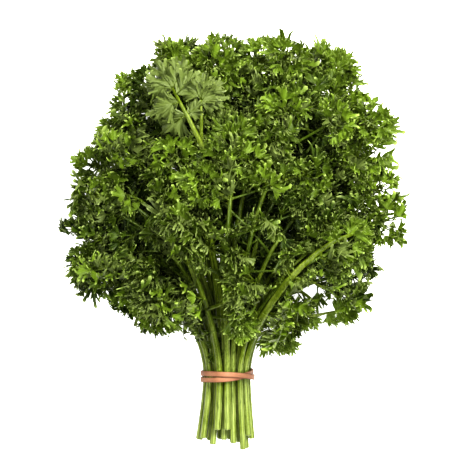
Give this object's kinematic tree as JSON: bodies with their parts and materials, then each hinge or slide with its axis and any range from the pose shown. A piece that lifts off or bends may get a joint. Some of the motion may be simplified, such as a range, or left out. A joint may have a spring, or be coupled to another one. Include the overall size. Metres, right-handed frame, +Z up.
{
  "type": "curly parsley bunch",
  "caption": "Bunch of curly parsley lying on its side: leafy stems close packed in a doubled rubber band, fanning out into a round head of crisped leaf sprays above bare cut ends",
  "frame": {"origin": "middle of the bounding box in plan, on the surface the bunch lies on", "axes": "+Y from the cut ends to the head, +X to the right seen from above with the head away, +Z up from the surface"},
  "size_m": [0.2158, 0.2654, 0.1114],
  "materials": {
    "parsley_leaf": "satin",
    "parsley_stem": "satin",
    "cut_stem_end": "matte",
    "band_rubber": "matte"
  },
  "bodies": {
    "root": {"leafy_stem_01": "parsley_leaf", "leafy_stem_02": "parsley_leaf", "leafy_stem_03": "parsley_leaf", "leafy_stem_04": "parsley_leaf", "leafy_stem_05": "parsley_leaf", "leafy_stem_06": "parsley_leaf", "leafy_stem_07": "parsley_leaf", "leafy_stem_08": "parsley_leaf", "leafy_stem_09": "parsley_leaf", "leafy_stem_10": "parsley_leaf", "leafy_stem_11": "parsley_leaf", "leafy_stem_12": "parsley_leaf", "leafy_stem_13": "parsley_leaf", "leafy_stem_14": "parsley_leaf", "leafy_stem_15": "parsley_leaf", "leafy_stem_16": "parsley_leaf", "leafy_stem_17": "parsley_leaf", "leafy_stem_18": "parsley_leaf", "leafy_stem_19": "parsley_leaf", "leafy_stem_20": "parsley_leaf", "leafy_stem_21": "parsley_leaf", "leafy_stem_22": "parsley_leaf", "leafy_stem_23": "parsley_leaf", "leafy_stem_24": "parsley_leaf", "leafy_stem_25": "parsley_leaf", "leafy_stem_26": "parsley_leaf", "leafy_stem_27": "parsley_leaf", "leafy_stem_28": "parsley_leaf", "leafy_stem_29": "parsley_leaf", "leafy_stem_30": "parsley_leaf", "leafy_stem_31": "parsley_leaf", "rubber_band": "band_rubber"}
  },
  "joints": []
}
